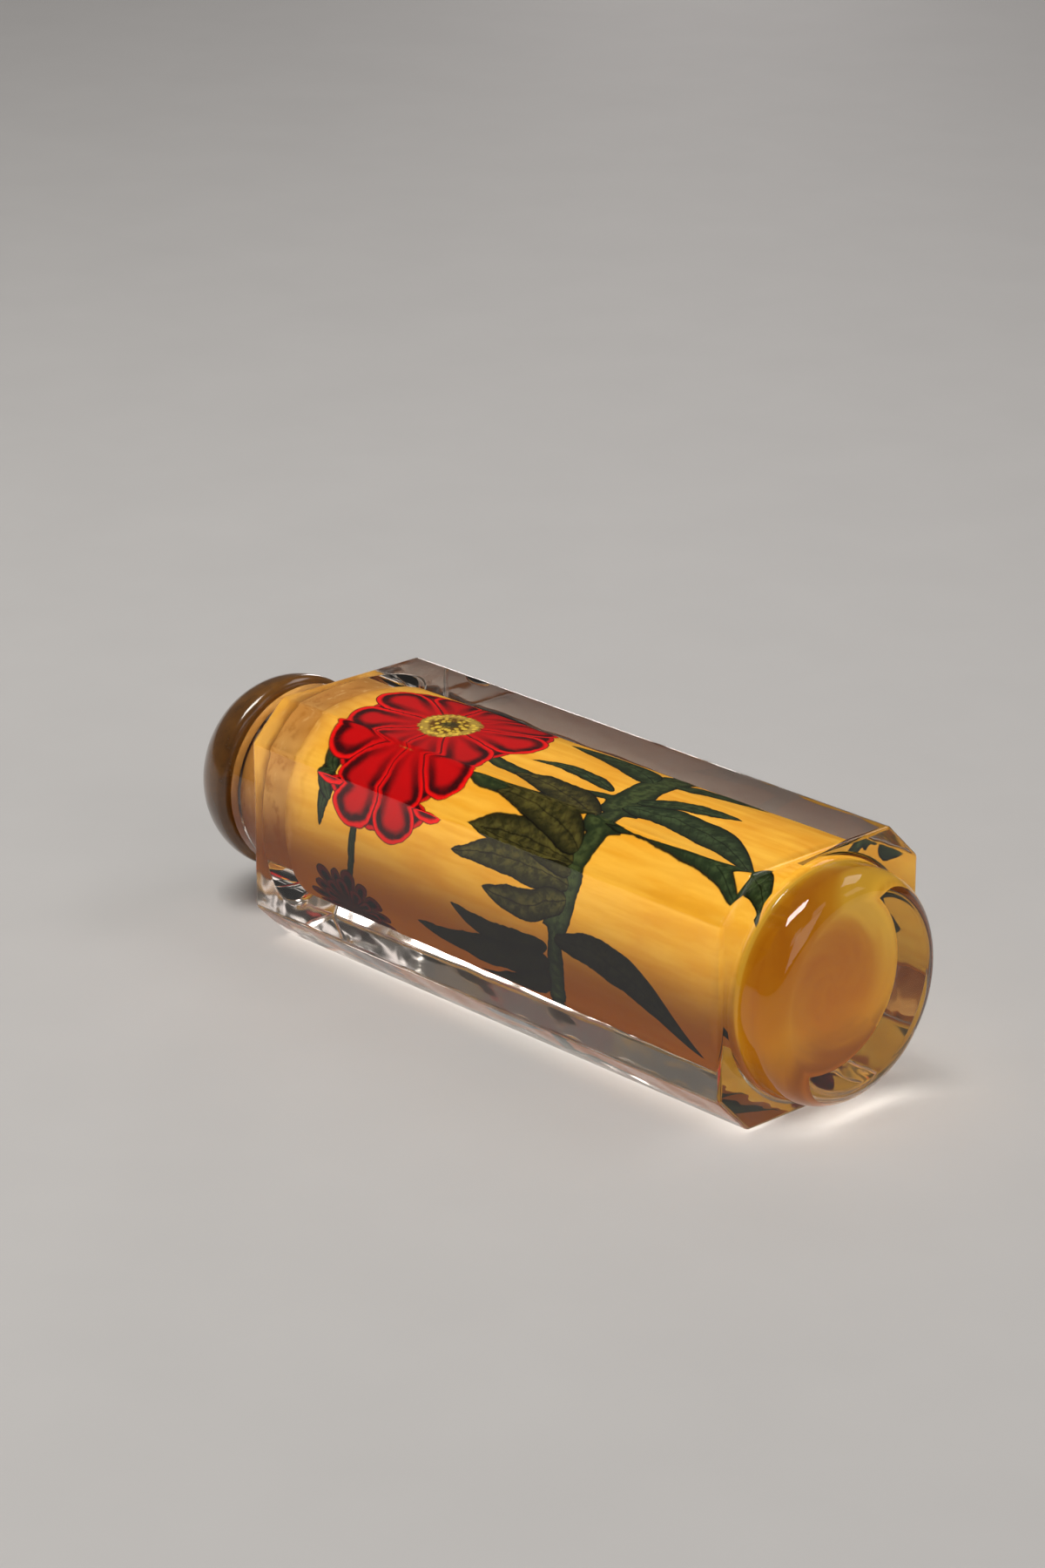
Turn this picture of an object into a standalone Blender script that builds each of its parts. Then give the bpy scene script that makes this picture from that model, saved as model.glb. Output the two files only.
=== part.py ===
"""Snuff bottle of clear crystal with its domed stopper, lying on one long flat face.

+X runs along the bottle from its neck to its foot, +Y across it and +Z up. The origin is
on the surface that the bottle lies on, under the middle of its whole length. Metres.
"""
import math

import bmesh
import bpy

# Crystal block: a square bar whose four long corners are cut off flat
BODY_LENGTH = 0.0661
BODY_WIDTH = 0.0260
BODY_HEIGHT = 0.0254
BODY_CHAMFER = 0.0039
EDGE_POLISH = 0.0004

# Round foot on one end of the block
FOOT_HEIGHT = 0.0050
FOOT_SETBACK = 0.0012
FOOT_ROUND = 0.0024
FOOT_FILLET = 0.0008

# Round neck on the other end
NECK_LENGTH = 0.0080
NECK_WALL = 0.0031
NECK_ROUND = 0.0006
NECK_FILLET = 0.0008

# Hollow ground out of the crystal through the mouth, a little wider at the foot
MOUTH_RADIUS = 0.0066
SIDE_WALL = 0.0034
HOLLOW_TAPER = 0.0010
BASE_WALL = 0.0070
SHOULDER_WALL = 0.0018
HOLLOW_ROUND = 0.0016
LEDGE_SHARE = 0.8

# Stopper: a domed cap that overhangs the neck, and a short plug in the mouth
CAP_OVERHANG = 0.0005
CAP_HEIGHT = 0.0086
CAP_LIP_ROUND = 0.0010
PLUG_LENGTH = 0.0040
PLUG_ROUND = 0.0005
SEAT_GAP = 0.0003
PLUG_CLEARANCE = 0.0003

ROUND_SIDES = 48
ARC_STEPS = 4
DOME_STEPS = 12
BEVEL_STEPS = 2
CUTTER_REACH = 0.002
SMOOTH_ANGLE = math.radians(35)

# Stations along X, from the face of the foot back to the top of the dome
total_length = FOOT_HEIGHT + BODY_LENGTH + NECK_LENGTH + SEAT_GAP + CAP_HEIGHT
foot_face_x = total_length / 2
block_foot_x = foot_face_x - FOOT_HEIGHT
block_neck_x = block_foot_x - BODY_LENGTH
neck_rim_x = block_neck_x - NECK_LENGTH
cap_seat_x = neck_rim_x - SEAT_GAP
dome_top_x = cap_seat_x - CAP_HEIGHT
hollow_base_x = foot_face_x - BASE_WALL
hollow_shoulder_x = block_neck_x + SHOULDER_WALL

# Radii about the bottle's own axis, which runs through the middle of the block
half_block = min(BODY_WIDTH, BODY_HEIGHT) / 2
axis_z = BODY_HEIGHT / 2
foot_radius = half_block - FOOT_SETBACK
neck_radius = MOUTH_RADIUS + NECK_WALL
hollow_base_radius = half_block - SIDE_WALL
hollow_shoulder_radius = hollow_base_radius - HOLLOW_TAPER
cap_radius = neck_radius + CAP_OVERHANG
plug_radius = MOUTH_RADIUS - PLUG_CLEARANCE


def clear_scene():
    for old in list(bpy.data.objects):
        bpy.data.objects.remove(old, do_unlink=True)


def material(name, colour, roughness, transmission=0.0, ior=1.5):
    made = bpy.data.materials.new(name)
    made.use_nodes = True
    shader = made.node_tree.nodes["Principled BSDF"]
    shader.inputs["Base Color"].default_value = (*colour, 1.0)
    shader.inputs["Roughness"].default_value = roughness
    shader.inputs["Metallic"].default_value = 0.0
    shader.inputs["Transmission Weight"].default_value = transmission
    shader.inputs["IOR"].default_value = ior
    return made


def arc(centre_x, centre_r, radius, start, end, steps=ARC_STEPS):
    """Points of an arc in the (x, radius) plane. Angles are in degrees, 0 along +X."""
    points = []
    for step in range(steps + 1):
        angle = math.radians(start + (end - start) * step / steps)
        points.append((centre_x + radius * math.cos(angle), centre_r + radius * math.sin(angle)))
    return points


def object_from(name, shape):
    """A named object from a bmesh, with its faces pointing out and round parts smooth."""
    bmesh.ops.recalc_face_normals(shape, faces=shape.faces)
    mesh = bpy.data.meshes.new(name)
    shape.to_mesh(mesh)
    shape.free()
    mesh.shade_smooth()
    mesh.set_sharp_from_angle(angle=SMOOTH_ANGLE)
    made = bpy.data.objects.new(name, mesh)
    bpy.context.collection.objects.link(made)
    return made


def turned(name, profile):
    """A solid turned about the bottle's axis from (x, radius) points that end on the axis."""
    shape = bmesh.new()
    points = [shape.verts.new((x, radius, 0.0)) for x, radius in profile]
    edges = [shape.edges.new(pair) for pair in zip(points, points[1:])]
    bmesh.ops.spin(
        shape,
        geom=points + edges,
        cent=(0.0, 0.0, 0.0),
        axis=(1.0, 0.0, 0.0),
        angle=math.tau,
        steps=ROUND_SIDES,
        use_duplicate=False,
    )
    bmesh.ops.remove_doubles(shape, verts=shape.verts, dist=1e-6)
    made = object_from(name, shape)
    made.location.z = axis_z
    return made


def crystal_block():
    """The bar with its long corners cut off, and a fine bevel for its polished edges."""
    shape = bmesh.new()
    bmesh.ops.create_cube(shape, size=1.0)
    bmesh.ops.scale(shape, vec=(BODY_LENGTH, BODY_WIDTH, BODY_HEIGHT), verts=shape.verts)
    block_middle_x = (block_foot_x + block_neck_x) / 2
    bmesh.ops.translate(shape, vec=(block_middle_x, 0.0, axis_z), verts=shape.verts)
    long_edges = [
        edge for edge in shape.edges
        if abs(edge.verts[0].co.x - edge.verts[1].co.x) > BODY_LENGTH / 2
    ]
    bmesh.ops.bevel(
        shape,
        geom=long_edges,
        offset=BODY_CHAMFER,
        offset_type="OFFSET",
        segments=1,
        profile=0.5,
        affect="EDGES",
    )
    block = object_from("bottle", shape)
    polish = block.modifiers.new("polished edges", "BEVEL")
    polish.width = EDGE_POLISH
    polish.segments = BEVEL_STEPS
    polish.limit_method = "ANGLE"
    polish.angle_limit = SMOOTH_ANGLE
    return block


def foot_and_neck():
    """One turned bar through the block: its ends are the foot and the neck."""
    fillet = min(FOOT_FILLET, FOOT_SETBACK - EDGE_POLISH)
    points = [(foot_face_x, 0.0)]
    points += arc(foot_face_x - FOOT_ROUND, foot_radius - FOOT_ROUND, FOOT_ROUND, 0, 90)
    points += arc(block_foot_x + fillet, foot_radius + fillet, fillet, 270, 190)
    points.append((block_foot_x - fillet, foot_radius))
    points.append((block_neck_x + NECK_FILLET, neck_radius))
    points += arc(block_neck_x - NECK_FILLET, neck_radius + NECK_FILLET, NECK_FILLET, 350, 270)
    points += arc(neck_rim_x + NECK_ROUND, neck_radius - NECK_ROUND, NECK_ROUND, 90, 180)
    points.append((neck_rim_x, 0.0))
    return turned("foot_and_neck_guide", points)


def hollow():
    """The space inside: a round chamber with a narrower mouth that opens at the neck."""
    ledge = hollow_shoulder_radius - MOUTH_RADIUS
    shoulder_round = min(HOLLOW_ROUND, ledge * LEDGE_SHARE)
    points = [(hollow_base_x, 0.0)]
    points += arc(
        hollow_base_x - HOLLOW_ROUND, hollow_base_radius - HOLLOW_ROUND, HOLLOW_ROUND, 0, 90
    )
    points += arc(
        hollow_shoulder_x + shoulder_round,
        hollow_shoulder_radius - shoulder_round,
        shoulder_round,
        90,
        180,
    )
    points.append((hollow_shoulder_x, MOUTH_RADIUS))
    points.append((neck_rim_x - CUTTER_REACH, MOUTH_RADIUS))
    points.append((neck_rim_x - CUTTER_REACH, 0.0))
    return turned("hollow_guide", points)


def bottle():
    crystal = material("crystal", (0.97, 0.97, 0.95), 0.02, transmission=1.0, ior=1.52)
    block = crystal_block()
    block.data.materials.append(crystal)
    for guide, operation in ((foot_and_neck(), "UNION"), (hollow(), "DIFFERENCE")):
        guide.hide_render = True
        guide.display_type = "WIRE"
        guide.hide_set(True)
        cut = block.modifiers.new(guide.name, "BOOLEAN")
        cut.operation = operation
        cut.solver = "EXACT"
        cut.object = guide
    return block


def stopper():
    """The dome, its rounded lip and flat seat over the neck, and the plug in the mouth."""
    lip_x = cap_seat_x - CAP_LIP_ROUND
    dome_height = lip_x - dome_top_x
    points = []
    for step in range(DOME_STEPS + 1):
        angle = math.radians(90.0 * step / DOME_STEPS)
        points.append((lip_x - dome_height * math.cos(angle), cap_radius * math.sin(angle)))
    points += arc(lip_x, cap_radius - CAP_LIP_ROUND, CAP_LIP_ROUND, 90, 0)[1:]
    points.append((cap_seat_x, plug_radius))
    plug_end_x = cap_seat_x + SEAT_GAP + PLUG_LENGTH
    points += arc(plug_end_x - PLUG_ROUND, plug_radius - PLUG_ROUND, PLUG_ROUND, 90, 0)
    points.append((plug_end_x, 0.0))
    cap = turned("stopper", points)
    cap.data.materials.append(material("smoky_stone", (0.12, 0.075, 0.025), 0.12))
    return cap


def main():
    clear_scene()
    bottle()
    stopper()


main()
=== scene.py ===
# %% [markdown]
# # A crystal snuff bottle, painted on the inside
# A snuff bottle is a pocket bottle with a narrow mouth. This one is a bar of clear crystal with
# its four long corners cut off flat, a round foot at one end and a round neck at the other. The
# maker grinds a round hollow into it through the mouth, a painter works on the wall of that
# hollow from the inside, and the picture is then seen through the thick crystal. The lesson
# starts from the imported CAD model, which is the frame that everything else has to fit.

# %% Load the frame
import math

import bpy
from mathutils import Matrix, Vector


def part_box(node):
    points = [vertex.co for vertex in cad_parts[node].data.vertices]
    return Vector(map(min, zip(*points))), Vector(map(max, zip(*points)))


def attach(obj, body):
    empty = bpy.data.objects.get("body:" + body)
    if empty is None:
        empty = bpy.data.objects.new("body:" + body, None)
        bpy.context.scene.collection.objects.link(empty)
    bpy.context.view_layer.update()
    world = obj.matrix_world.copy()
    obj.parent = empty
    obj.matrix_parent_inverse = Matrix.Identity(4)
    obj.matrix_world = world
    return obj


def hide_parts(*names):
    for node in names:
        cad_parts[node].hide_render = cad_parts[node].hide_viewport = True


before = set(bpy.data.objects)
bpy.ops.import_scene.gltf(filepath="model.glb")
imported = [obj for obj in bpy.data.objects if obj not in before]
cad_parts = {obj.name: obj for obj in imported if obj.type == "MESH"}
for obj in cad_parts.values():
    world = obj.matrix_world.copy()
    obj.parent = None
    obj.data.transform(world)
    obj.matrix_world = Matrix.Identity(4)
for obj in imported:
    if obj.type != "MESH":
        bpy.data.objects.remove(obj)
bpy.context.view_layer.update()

print("CAD nodes:", sorted(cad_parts))

# %% [markdown]
# ## The stations along the bottle
# A turned thing is described by its radius at a few stations along its axis. The two CAD boxes
# give the ends, and the other stations are set from them by walls and rounds in metres, so the
# new pieces stay where the solids are. The axis runs along X, from the neck to the foot.

# %% Stations and radii
bottle_low, bottle_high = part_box("bottle")
stopper_low, stopper_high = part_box("stopper")

FOOT_HEIGHT = 0.0050
FOOT_RADIUS = 0.0115
FOOT_ROUND = 0.0024
FOOT_FILLET = 0.0008
NECK_LENGTH = 0.0080
NECK_RADIUS = 0.0097
NECK_ROUND = 0.0006
NECK_FILLET = 0.0008
CORNER_CUT = 0.0039
EDGE_POLISH = 0.0004

foot_face_x = bottle_high.x
neck_rim_x = bottle_low.x
block_foot_x = foot_face_x - FOOT_HEIGHT
block_neck_x = neck_rim_x + NECK_LENGTH
block_width = bottle_high.y - bottle_low.y
block_height = bottle_high.z - bottle_low.z
axis_z = (bottle_low.z + bottle_high.z) / 2
print("block from", round(block_neck_x, 4), "to", round(block_foot_x, 4), "m along X")

# %% [markdown]
# ## The camera
# The photograph looks down at the bottle from beyond its foot, with a long lens. A camera is
# easiest to place by its turn and its tilt: from these come the three directions right, up and
# back, which are the columns of its matrix. There is no roll, no shift and no depth of field.

# %% Camera
CAMERA_PLACE = (0.3124, -0.2906, 0.1805)
CAMERA_TURN = math.radians(47.20)
CAMERA_TILT = math.radians(20.48)
CAMERA_LENS = 107.3
CAMERA_SENSOR = 36.0
CAMERA_NEAREST = 0.01

right = Vector((math.cos(CAMERA_TURN), math.sin(CAMERA_TURN), 0.0))
back = Vector((
    math.sin(CAMERA_TURN) * math.cos(CAMERA_TILT),
    -math.cos(CAMERA_TURN) * math.cos(CAMERA_TILT),
    math.sin(CAMERA_TILT),
))
up = back.cross(right)
camera = bpy.data.objects.new("camera", bpy.data.cameras.new("camera"))
bpy.context.collection.objects.link(camera)
turn = Matrix((right, up, back)).transposed().to_4x4()
camera.matrix_world = Matrix.Translation(CAMERA_PLACE) @ turn
camera.data.lens = CAMERA_LENS
camera.data.sensor_width = CAMERA_SENSOR
camera.data.clip_start = CAMERA_NEAREST
bpy.context.scene.camera = camera
print("camera", [round(v, 3) for v in camera.location], "lens", CAMERA_LENS)

# %% [markdown]
# ## Helpers for shaping
# Operators act on whatever is selected, so each step starts with nothing selected. A round part
# is made as on a lathe: a filled circle is added at the first station and extruded to the next,
# and the new ring is resized to its radius. The first circle and the last ring stay as flat
# faces, and they close the solid.

# %% Shaping helpers
ROUND_SIDES = 144
SMALLEST = 1e-6


def only(*objects):
    """Select these objects and nothing else, with the first one active."""
    bpy.ops.object.select_all(action="DESELECT")
    for each in objects:
        each.select_set(True)
    bpy.context.view_layer.objects.active = objects[0]


def arc(centre_x, centre_r, radius, start, end, steps=6):
    """Stations (x, radius) along an arc. The angles are in degrees, with 0 along +X."""
    stations = []
    for step in range(steps + 1):
        angle = math.radians(start + (end - start) * step / steps)
        stations.append((centre_x + radius * math.cos(angle), centre_r + radius * math.sin(angle)))
    return stations


def turned(name, stations):
    """A closed solid turned about the bottle's axis, from (x, radius) stations."""
    first_x, first_r = stations[0]
    bpy.ops.object.select_all(action="DESELECT")
    bpy.ops.mesh.primitive_circle_add(
        vertices=ROUND_SIDES,
        radius=first_r,
        fill_type="NGON",
        location=(first_x, 0.0, axis_z),
        rotation=(0.0, math.pi / 2, 0.0),
    )
    piece = bpy.context.object
    piece.name = name
    bpy.ops.object.transform_apply(location=True, rotation=True, scale=True)
    bpy.ops.object.mode_set(mode="EDIT")
    bpy.ops.mesh.select_mode(type="FACE")
    bpy.ops.mesh.select_all(action="SELECT")
    for (x0, r0), (x1, r1) in zip(stations, stations[1:]):
        bpy.ops.mesh.extrude_region_move(TRANSFORM_OT_translate={"value": (x1 - x0, 0.0, 0.0)})
        grow = r1 / r0
        bpy.ops.transform.resize(value=(1.0, grow, grow), center_override=(x1, 0.0, axis_z))
    bpy.ops.mesh.select_all(action="SELECT")
    bpy.ops.mesh.remove_doubles(threshold=SMALLEST)
    bpy.ops.mesh.normals_make_consistent(inside=False)
    bpy.ops.object.mode_set(mode="OBJECT")
    return piece


def open_edges(piece):
    """How many edges don't lie between exactly two faces. A closed solid has none."""
    uses = [0] * len(piece.data.edges)
    for loop in piece.data.loops:
        uses[loop.edge_index] += 1
    return sum(1 for count in uses if count != 2)


def report(piece):
    """Print a piece's size in millimetres, its faces and whether it is closed."""
    size = [round(side * 1000, 2) for side in piece.dimensions]
    faces = len(piece.data.polygons)
    print(piece.name, size, "mm,", faces, "faces,", open_edges(piece), "open edges")


# %% [markdown]
# ## The crystal block
# The block is sawn as a square bar, its four long corners are ground off flat, and then every
# edge is polished to a hair's width of round. A cube at its size and place is the bar. Only its
# four long edges are selected for the wide one-segment bevel, and a fine bevel modifier with an
# angle limit then rounds every edge that is left, as the polisher does.

# %% Block with cut corners
bpy.ops.object.select_all(action="DESELECT")
bpy.ops.mesh.primitive_cube_add(
    size=1.0,
    location=((block_foot_x + block_neck_x) / 2, 0.0, axis_z),
    scale=(block_foot_x - block_neck_x, block_width, block_height),
)
crystal = bpy.context.object
crystal.name = "crystal_bottle"
bpy.ops.object.transform_apply(location=True, rotation=True, scale=True)
bpy.ops.object.mode_set(mode="EDIT")
bpy.ops.mesh.select_mode(type="EDGE")
bpy.ops.mesh.select_all(action="DESELECT")
bpy.ops.object.mode_set(mode="OBJECT")
for edge in crystal.data.edges:
    ends = [crystal.data.vertices[index].co for index in edge.vertices]
    edge.select = abs(ends[0].x - ends[1].x) > block_width
bpy.ops.object.mode_set(mode="EDIT")
bpy.ops.mesh.bevel(offset=CORNER_CUT, offset_type="OFFSET", segments=1, affect="EDGES")
bpy.ops.mesh.select_all(action="SELECT")
bpy.ops.mesh.normals_make_consistent(inside=False)
bpy.ops.object.mode_set(mode="OBJECT")

POLISH_STEPS = 4
POLISH_ANGLE = math.radians(30)

polish = crystal.modifiers.new("polished edges", "BEVEL")
polish.width = EDGE_POLISH
polish.segments = POLISH_STEPS
polish.limit_method = "ANGLE"
polish.angle_limit = POLISH_ANGLE
only(crystal)
bpy.ops.object.modifier_apply(modifier=polish.name)
report(crystal)

# %% [markdown]
# ## The foot and the neck
# The foot is a low round step that the bottle can stand on, and the neck is a round collar for
# the mouth. They could be two discs of their own, but both are on the bottle's axis, so one
# turned bar goes right through the block and shows at each end. Small hollow fillets lead from
# the block into it, as a grinding wheel leaves them.

# %% Turned bar for the foot and the neck
stations = [(foot_face_x, FOOT_RADIUS - FOOT_ROUND)]
stations += arc(foot_face_x - FOOT_ROUND, FOOT_RADIUS - FOOT_ROUND, FOOT_ROUND, 0, 90, 8)[1:]
stations += arc(block_foot_x + FOOT_FILLET, FOOT_RADIUS + FOOT_FILLET, FOOT_FILLET, 270, 190, 6)
stations.append((block_foot_x - FOOT_FILLET, FOOT_RADIUS))
stations.append((block_neck_x + NECK_FILLET, NECK_RADIUS))
stations += arc(block_neck_x - NECK_FILLET, NECK_RADIUS + NECK_FILLET, NECK_FILLET, 350, 270, 6)
stations += arc(neck_rim_x + NECK_ROUND, NECK_RADIUS - NECK_ROUND, NECK_ROUND, 90, 180, 6)
foot_and_neck = turned("foot_and_neck", stations)
report(foot_and_neck)

# %% [markdown]
# ## The hollow
# The hollow is wider at the foot than at the shoulder, and its mouth is narrower still. The
# thick wall that is left is what bends the light and makes the picture seem to fill the bottle.
# Its stations are worked out once in a function, because the painting needs them again with the
# whole outline moved outwards or inwards a little.

# %% Turned space inside
MOUTH_RADIUS = 0.0066
CHAMBER_FOOT_RADIUS = 0.0093
CHAMBER_SHOULDER_RADIUS = 0.0083
CHAMBER_FOOT_ROUND = 0.0016
BASE_WALL = 0.0070
SHOULDER_WALL = 0.0018
SHOULDER_ROUND_SHARE = 0.8
CUT_PAST_RIM = 0.002

chamber_foot_x = foot_face_x - BASE_WALL
chamber_shoulder_x = block_neck_x + SHOULDER_WALL
shoulder_round = (CHAMBER_SHOULDER_RADIUS - MOUTH_RADIUS) * SHOULDER_ROUND_SHARE


def hollow_stations(outwards, mouth_x):
    """Stations of the hollow from its base to its mouth, moved outwards by a distance."""
    base_x = chamber_foot_x - CHAMBER_FOOT_ROUND
    base_r = CHAMBER_FOOT_RADIUS - CHAMBER_FOOT_ROUND
    shoulder_x = chamber_shoulder_x + shoulder_round
    shoulder_r = CHAMBER_SHOULDER_RADIUS - shoulder_round
    made = arc(base_x, base_r, CHAMBER_FOOT_ROUND + outwards, 0, 90, 8)
    made += arc(shoulder_x, shoulder_r, shoulder_round + outwards, 90, 180, 6)
    made.append((chamber_shoulder_x - outwards, MOUTH_RADIUS + outwards))
    made.append((mouth_x, MOUTH_RADIUS + outwards))
    return made


hollow = turned("hollow", hollow_stations(0.0, neck_rim_x - CUT_PAST_RIM))
report(hollow)

# %% [markdown]
# ## One piece of crystal
# The bottle is one piece, so the bar is joined to the block and the hollow is cut out of both by
# boolean modifiers, which are then applied. Smoothing by angle keeps the flats apart, and normals
# weighted by face area keep each flat truly flat, so that it bends light like a ground face.

# %% Join and cut
FLAT_ANGLE = math.radians(32)
LARGE_FACES_FIRST = 100


def combine(piece, tool, operation):
    """Add a tool solid to a piece or cut it out, and take the tool away."""
    joint = piece.modifiers.new(operation.lower(), "BOOLEAN")
    joint.operation = operation
    joint.solver = "EXACT"
    joint.object = tool
    only(piece)
    bpy.ops.object.modifier_apply(modifier=joint.name)
    bpy.data.objects.remove(tool, do_unlink=True)


def smooth_rounds(piece):
    """Shade the round parts smooth, keep hard edges, and hold the flats flat."""
    only(piece)
    bpy.ops.object.shade_smooth_by_angle(angle=FLAT_ANGLE)
    weigh = piece.modifiers.new("flats stay flat", "WEIGHTED_NORMAL")
    weigh.keep_sharp = True
    weigh.weight = LARGE_FACES_FIRST
    bpy.ops.object.modifier_apply(modifier=weigh.name)


combine(crystal, foot_and_neck, "UNION")
combine(crystal, hollow, "DIFFERENCE")
smooth_rounds(crystal)
report(crystal)

# %% [markdown]
# ## The coat of paint inside
# The paint is a thin coat on the wall of the hollow. It could be a colour on the crystal's own
# inner faces, but then they would no longer be clear. So it is a closed skin that reaches a
# twentieth of a millimetre into the crystal, because light in the crystal must meet paint, with
# no air between them: an air gap there would work as a mirror.

# %% Painted skin
PAINT_REACH = 0.00005
PAINT_BODY = 0.00003
PAINT_END = 0.0002

paint_end_x = neck_rim_x + PAINT_END
outside_of_paint = hollow_stations(PAINT_REACH, paint_end_x)
inside_of_paint = hollow_stations(-PAINT_BODY, paint_end_x)
inside_painting = turned("inside_painting", outside_of_paint + inside_of_paint[::-1])
smooth_rounds(inside_painting)
report(inside_painting)

# %% [markdown]
# ## The stopper
# The stopper is a dome of dark stone with a rounded lip that stands out a little over the neck.
# Under it a short plug goes into the mouth. Half a ball and a short bar would leave a seam, so it
# is turned in one piece, from the top of the dome over the lip to the end of the plug.

# %% Stopper
CAP_LIP_ROUND = 0.0010
PLUG_LENGTH = 0.0040
PLUG_RADIUS = 0.0063
PLUG_ROUND = 0.0005
SEAT_GAP = 0.0003
DOME_STEPS = 28

cap_radius = stopper_high.y
dome_top_x = stopper_low.x
cap_seat_x = neck_rim_x - SEAT_GAP
plug_end_x = neck_rim_x + PLUG_LENGTH
lip_x = cap_seat_x - CAP_LIP_ROUND
dome_height = lip_x - dome_top_x

stations = []
for step in range(1, DOME_STEPS + 1):
    angle = math.radians(90.0 * step / DOME_STEPS)
    stations.append((lip_x - dome_height * math.cos(angle), cap_radius * math.sin(angle)))
stations += arc(lip_x, cap_radius - CAP_LIP_ROUND, CAP_LIP_ROUND, 90, 0, 8)[1:]
stations.append((cap_seat_x, PLUG_RADIUS))
stations += arc(plug_end_x - PLUG_ROUND, PLUG_RADIUS - PLUG_ROUND, PLUG_ROUND, 90, 0, 5)
dome = turned("domed_stopper", stations)
smooth_rounds(dome)
report(dome)

# %% [markdown]
# ## Helpers for materials
# A procedural material is a small sum written with nodes. These helpers keep it readable: each
# adds one node or a few, joins what it is given, and hands back the output. Colours are named by
# the values that a screen shows and turned into the linear values that the renderer wants.

# %% Node helpers
def colour(red, green, blue):
    """A linear colour from screen values between 0 and 255."""
    linear = []
    for value in (red, green, blue):
        share = value / 255
        linear.append(share / 12.92 if share <= 0.04045 else ((share + 0.055) / 1.055) ** 2.4)
    return (*linear, 1.0)


def feed(tree, socket, value):
    """Join a socket to another node's output, or set it to a plain value."""
    if isinstance(value, bpy.types.NodeSocket):
        tree.links.new(value, socket)
    else:
        socket.default_value = value


def calc(tree, operation, first, second=0.0, third=0.0):
    """One step of arithmetic."""
    made = tree.nodes.new("ShaderNodeMath")
    made.operation = operation
    feed(tree, made.inputs[0], first)
    feed(tree, made.inputs[1], second)
    feed(tree, made.inputs[2], third)
    return made.outputs[0]


def plus(tree, first, second):
    """Two values added."""
    return calc(tree, "ADD", first, second)


def minus(tree, first, second):
    """The second value taken from the first."""
    return calc(tree, "SUBTRACT", first, second)


def times(tree, first, second):
    """Two values multiplied."""
    return calc(tree, "MULTIPLY", first, second)


def distance(tree, first, second):
    """The length of the long side of a right triangle, from its two short sides."""
    return calc(tree, "SQRT", plus(tree, times(tree, first, first), times(tree, second, second)))


def ease(tree, value, low, high, start=0.0, end=1.0):
    """A soft step from start to end while the value goes from low to high."""
    made = tree.nodes.new("ShaderNodeMapRange")
    made.interpolation_type = "SMOOTHSTEP"
    for label, number in zip(
        ("Value", "From Min", "From Max", "To Min", "To Max"), (value, low, high, start, end)
    ):
        feed(tree, made.inputs[label], number)
    return made.outputs["Result"]


def mix(tree, share, below, above):
    """Two colours mixed by a share."""
    made = tree.nodes.new("ShaderNodeMix")
    made.data_type = "RGBA"
    feed(tree, made.inputs[0], share)
    feed(tree, made.inputs[6], below)
    feed(tree, made.inputs[7], above)
    return made.outputs[2]


def vector(tree, x, y, z=0.0):
    """Three numbers put together into a place."""
    made = tree.nodes.new("ShaderNodeCombineXYZ")
    for socket, value in zip(made.inputs, (x, y, z)):
        feed(tree, socket, value)
    return made.outputs[0]


def split(tree, place):
    """A place taken apart into its X, Y and Z."""
    made = tree.nodes.new("ShaderNodeSeparateXYZ")
    tree.links.new(place, made.inputs[0])
    return made.outputs


def noise(tree, place, scale, detail=3.0, rough=0.5):
    """Smooth random patches between 0 and 1."""
    made = tree.nodes.new("ShaderNodeTexNoise")
    feed(tree, made.inputs["Vector"], place)
    made.inputs["Scale"].default_value = scale
    made.inputs["Detail"].default_value = detail
    made.inputs["Roughness"].default_value = rough
    return made.outputs["Fac"]


def new_material(name):
    """A new material with its tree, its shader and the place of a point on the piece."""
    made = bpy.data.materials.new(name)
    made.use_nodes = True
    tree = made.node_tree
    place = tree.nodes.new("ShaderNodeTexCoord").outputs["Object"]
    return made, tree, tree.nodes["Principled BSDF"], place


def effect(name, inputs, outputs):
    """An empty node group with named sockets: its tree, what comes in and what goes out."""
    tree = bpy.data.node_groups.new(name, "ShaderNodeTree")
    for label, value in inputs.items():
        kind = "NodeSocketColor" if isinstance(value, tuple) else "NodeSocketFloat"
        socket = tree.interface.new_socket(label, in_out="INPUT", socket_type=kind)
        socket.default_value = value
    for label, kind in outputs.items():
        tree.interface.new_socket(label, in_out="OUTPUT", socket_type="NodeSocket" + kind)
    came_in = tree.nodes.new("NodeGroupInput").outputs
    goes_out = tree.nodes.new("NodeGroupOutput").inputs
    return tree, came_in, goes_out


def use(tree, group, **values):
    """Place an effect in a material or another effect, and hand back its outputs."""
    made = tree.nodes.new("ShaderNodeGroup")
    made.node_tree = group
    for label, value in values.items():
        feed(tree, made.inputs[label.replace("_", " ")], value)
    return made.outputs


print("node helpers are ready")

# %% [markdown]
# ## A brush stroke
# Leaves and stems are both strokes of a loaded brush: a line from a start, in a direction, with
# a bend. What differs is how the width runs along it. The group measures a point along and
# across the stroke in millimetres of painted wall, and gives its colour and where it covers.
# A named range below holds what ease() takes: from, to, and the values at both where they aren't
# 0 and 1.

# %% Brush stroke effect
LINE_SOFT = 0.05
LINE_WIDTH = 0.10
LINE_FADE = 0.12
LEAF_ROOT_POWER = 0.45
LEAF_TIP_POWER = 0.75
LEAF_FULLNESS = 2.2
STEM_TAPER = 0.3
LEAST_REACH = 0.05
LIGHT_MIDDLE = (0.15, 0.95, 1.0, 0.0)
SIDE_VEINS_PER_MM = 5.2
SIDE_VEIN_LINE = (0.8, 1.0, 0.0, 0.3)
MIDRIB_LINE = (0.03, 0.11, 0.75, 0.0)

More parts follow.
